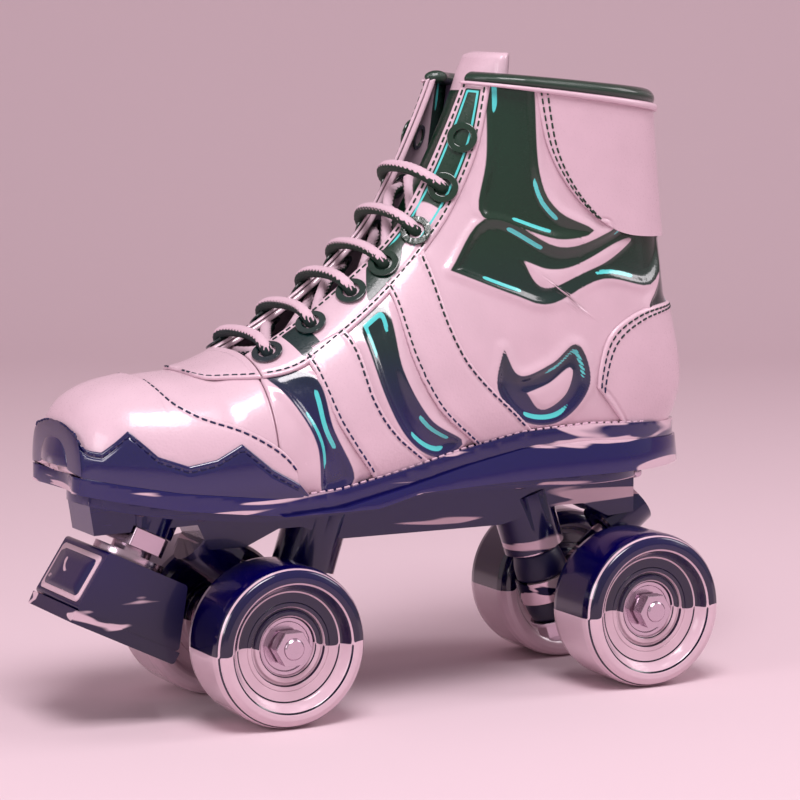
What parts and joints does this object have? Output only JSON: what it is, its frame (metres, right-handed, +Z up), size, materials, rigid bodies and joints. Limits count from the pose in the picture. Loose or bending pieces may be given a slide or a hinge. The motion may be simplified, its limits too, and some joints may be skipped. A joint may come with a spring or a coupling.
{
  "type": "quad roller skate",
  "caption": "High-top laced boot on a two-truck plate, with spinning wheels, steering trucks and an adjustable toe stop",
  "frame": {"origin": "on the floor under the middle of the skate's length and width", "axes": "+X to the toe, +Y to the outer side of the foot, +Z up"},
  "size_m": [0.2742, 0.101, 0.2518],
  "materials": {
    "patent_leather": "glossy",
    "pink_leather": "satin",
    "navy_leather": "glossy",
    "lining_fabric": "matt",
    "lace_cord": "matt",
    "sole_plastic": "glossy",
    "insole_board": "matt",
    "plate_metal": "glossy",
    "truck_chrome": "polished",
    "steel": "satin",
    "urethane": "glossy",
    "hub_plastic": "satin",
    "cushion_rubber": "matt",
    "stop_rubber": "satin",
    "eyelet_enamel": "glossy",
    "cup_plastic": "matt"
  },
  "bodies": {
    "boot_and_plate": {"vamp": "pink_leather", "quarter_left": "patent_leather", "quarter_right": "patent_leather", "eyestay_left": "pink_leather", "eyestay_right": "pink_leather", "stripes": "pink_leather", "eyelets_left": "eyelet_enamel", "eyelets_right": "eyelet_enamel", "lining_left": "lining_fabric", "lining_right": "lining_fabric", "lining_vamp": "lining_fabric", "throat_tab": "pink_leather", "toe_cap": "pink_leather", "toe_bumper": "navy_leather", "collar_patch": "pink_leather", "heel_counter": "pink_leather", "collar_binding": "patent_leather", "tongue": "pink_leather", "lace": "lace_cord", "outsole": "sole_plastic", "heel_wedge": "sole_plastic", "sole_screws": "steel", "insole": "insole_board", "plate": "plate_metal", "front_kingpin": "steel", "front_kingpin_nut": "steel", "front_upper_cushion": "cushion_rubber", "front_lower_cushion": "cushion_rubber", "front_kingpin_washers": "steel", "front_pivot_cup": "cup_plastic", "rear_kingpin": "steel", "rear_kingpin_nut": "steel", "rear_upper_cushion": "cushion_rubber", "rear_lower_cushion": "cushion_rubber", "rear_kingpin_washers": "steel", "rear_pivot_cup": "cup_plastic", "toe_stop_nut": "steel"},
    "toe_stop": {"toe_stop_stem": "steel", "toe_stop_block": "stop_rubber", "toe_stop_pad": "stop_rubber"},
    "front_truck": {"front_hanger": "truck_chrome", "front_axle": "steel", "front_axle_nuts": "steel", "front_axle_spacers": "steel"},
    "front_left_wheel": {"front_left_tyre": "urethane", "front_left_hub": "hub_plastic", "front_left_bearings": "steel"},
    "front_right_wheel": {"front_right_tyre": "urethane", "front_right_hub": "hub_plastic", "front_right_bearings": "steel"},
    "rear_truck": {"rear_hanger": "truck_chrome", "rear_axle": "steel", "rear_axle_nuts": "steel", "rear_axle_spacers": "steel"},
    "rear_left_wheel": {"rear_left_tyre": "urethane", "rear_left_hub": "hub_plastic", "rear_left_bearings": "steel"},
    "rear_right_wheel": {"rear_right_tyre": "urethane", "rear_right_hub": "hub_plastic", "rear_right_bearings": "steel"}
  },
  "joints": [
    {"name": "front_steer", "type": "hinge", "parent": "boot_and_plate", "child": "front_truck", "pos_m": [0.038, 0, 0.036], "axis": [0.7907, 0, 0.6122], "range_deg": [-8, 8], "stiffness_Nm_per_rad": 12, "deforming": ["front_upper_cushion", "front_lower_cushion"]},
    {"name": "front_left_spin", "type": "hinge", "parent": "front_truck", "child": "front_left_wheel", "pos_m": [0.06, 0.034, 0.031], "axis": [0, 1, 0], "continuous": true},
    {"name": "front_right_spin", "type": "hinge", "parent": "front_truck", "child": "front_right_wheel", "pos_m": [0.06, -0.034, 0.031], "axis": [0, 1, 0], "continuous": true},
    {"name": "rear_steer", "type": "hinge", "parent": "boot_and_plate", "child": "rear_truck", "pos_m": [-0.077, 0, 0.036], "axis": [-0.7907, 0, 0.6122], "range_deg": [-8, 8], "stiffness_Nm_per_rad": 12, "deforming": ["rear_upper_cushion", "rear_lower_cushion"]},
    {"name": "rear_left_spin", "type": "hinge", "parent": "rear_truck", "child": "rear_left_wheel", "pos_m": [-0.099, 0.034, 0.031], "axis": [0, 1, 0], "continuous": true},
    {"name": "rear_right_spin", "type": "hinge", "parent": "rear_truck", "child": "rear_right_wheel", "pos_m": [-0.099, -0.034, 0.031], "axis": [0, 1, 0], "continuous": true},
    {"name": "toe_stop_height", "type": "slide", "parent": "boot_and_plate", "child": "toe_stop", "axis": [-0.4384, 0, 0.8988], "range_m": [-0.004, 0.001]}
  ]
}
